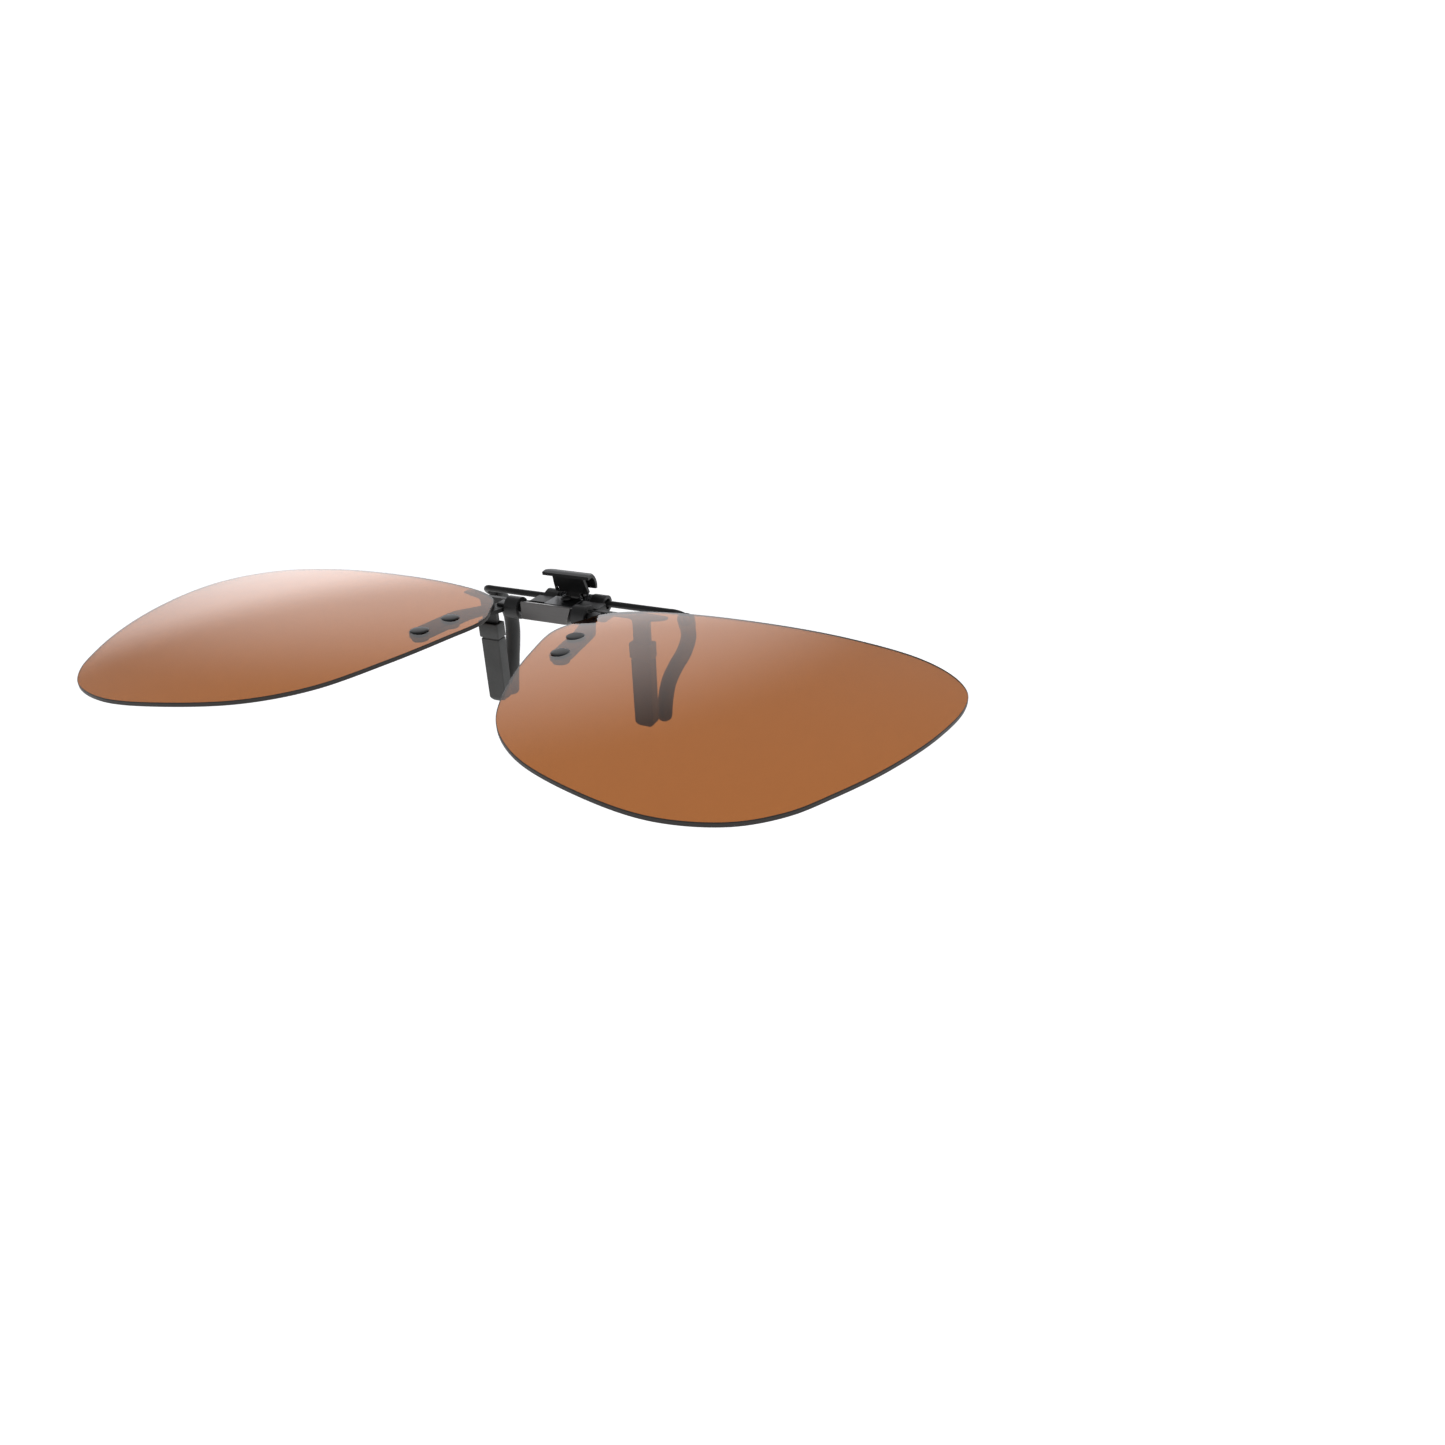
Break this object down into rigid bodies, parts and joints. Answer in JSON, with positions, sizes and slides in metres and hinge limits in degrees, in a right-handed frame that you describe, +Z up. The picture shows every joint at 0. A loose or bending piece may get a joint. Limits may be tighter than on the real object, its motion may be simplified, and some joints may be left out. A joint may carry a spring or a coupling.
{
  "type": "clip-on flip-up lenses",
  "caption": "Pair of tinted lenses on a small sprung clip for spectacles, hinged so that the lenses flip up; silicone-sleeved front and rear legs grip the rim.",
  "frame": {"origin": "middle of the grip: mid-plane, on the rear face of the front pads, halfway along them", "axes": "+X to the right seen from the front, along the lenses; -Y forward, away from the wearer; +Z up along the front legs"},
  "size_m": [0.1236, 0.0572, 0.0235],
  "materials": {
    "tinted_lens": "polished brown tinted polarising lens, hard coated",
    "black_plated_steel": "black plated steel with a soft gloss",
    "satin_steel": "satin dark grey plated steel",
    "spring_steel": "dull oiled spring steel",
    "silicone": "matt dark grey moulded silicone"
  },
  "bodies": {
    "clip_base": {"front_frame": "black_plated_steel", "front_sleeve_left": "silicone", "front_sleeve_right": "silicone", "detent_leaf": "spring_steel", "leaf_rivet": "black_plated_steel", "torsion_spring_left": "spring_steel", "torsion_spring_right": "spring_steel"},
    "rear_jaw": {"rear_wire": "black_plated_steel", "rear_sleeve_left": "silicone", "rear_sleeve_right": "silicone", "squeeze_lever": "black_plated_steel"},
    "lens_unit": {"flip_bar": "satin_steel", "flip_pin": "black_plated_steel", "lens_left": "tinted_lens", "lens_bracket_left": "black_plated_steel", "lens_right": "tinted_lens", "lens_bracket_right": "black_plated_steel", "lens_rivet_left_1": "black_plated_steel", "lens_rivet_left_2": "black_plated_steel", "rivet_washer_left_1": "black_plated_steel", "rivet_washer_left_2": "black_plated_steel", "lens_rivet_right_1": "black_plated_steel", "lens_rivet_right_2": "black_plated_steel", "rivet_washer_right_1": "black_plated_steel", "rivet_washer_right_2": "black_plated_steel"}
  },
  "joints": [
    {"name": "lens_flip", "type": "hinge", "parent": "clip_base", "child": "lens_unit", "pos_m": [0, -0.0047, 0.0123], "axis": [1, 0, 0], "range_deg": [0, 90]},
    {"name": "jaw_squeeze", "type": "hinge", "parent": "clip_base", "child": "rear_jaw", "pos_m": [0, 0.0036, 0.01135], "axis": [1, 0, 0], "range_deg": [0, 15], "stiffness_Nm_per_rad": 0.02, "springref_deg": -17.19}
  ]
}
